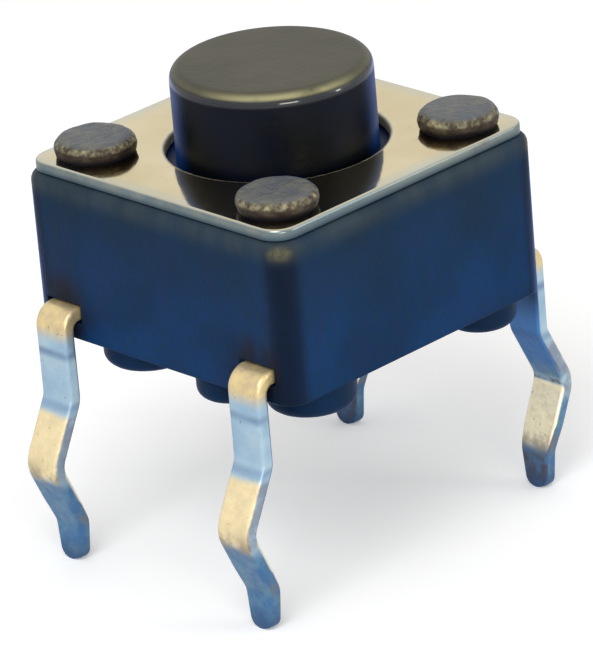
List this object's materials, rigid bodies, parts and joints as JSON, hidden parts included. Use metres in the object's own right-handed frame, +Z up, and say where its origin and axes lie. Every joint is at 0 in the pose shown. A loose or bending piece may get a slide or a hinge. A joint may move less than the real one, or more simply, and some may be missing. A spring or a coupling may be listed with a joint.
{
  "type": "tactile push button switch",
  "caption": "Square through-hole tactile push button switch with a round button, a stamped cover and four kinked snap-in leads.",
  "frame": {"origin": "middle of the body on the board plane, which is the underside of the standoff feet", "axes": "+Z up out of the button, +X and -X through the walls that the leads leave, +Y along those walls"},
  "size_m": [0.0078, 0.006, 0.0083],
  "materials": {
    "housing": "satin moulded navy",
    "button": "satin moulded black",
    "cover": "polished, warm tint",
    "dome": "polished",
    "terminal": "silver plated"
  },
  "bodies": {
    "switch_body": {"housing_base": "housing", "cover_plate": "cover", "snap_dome": "dome", "centre_terminal": "terminal", "outer_terminal": "terminal"},
    "button": {"push_button": "button"}
  },
  "joints": [
    {"name": "button_press", "type": "slide", "parent": "switch_body", "child": "button", "axis": [0, 0, 1], "range_m": [-0.00025, 0], "stiffness_N_per_m": 6400, "deforming": ["snap_dome"]}
  ]
}
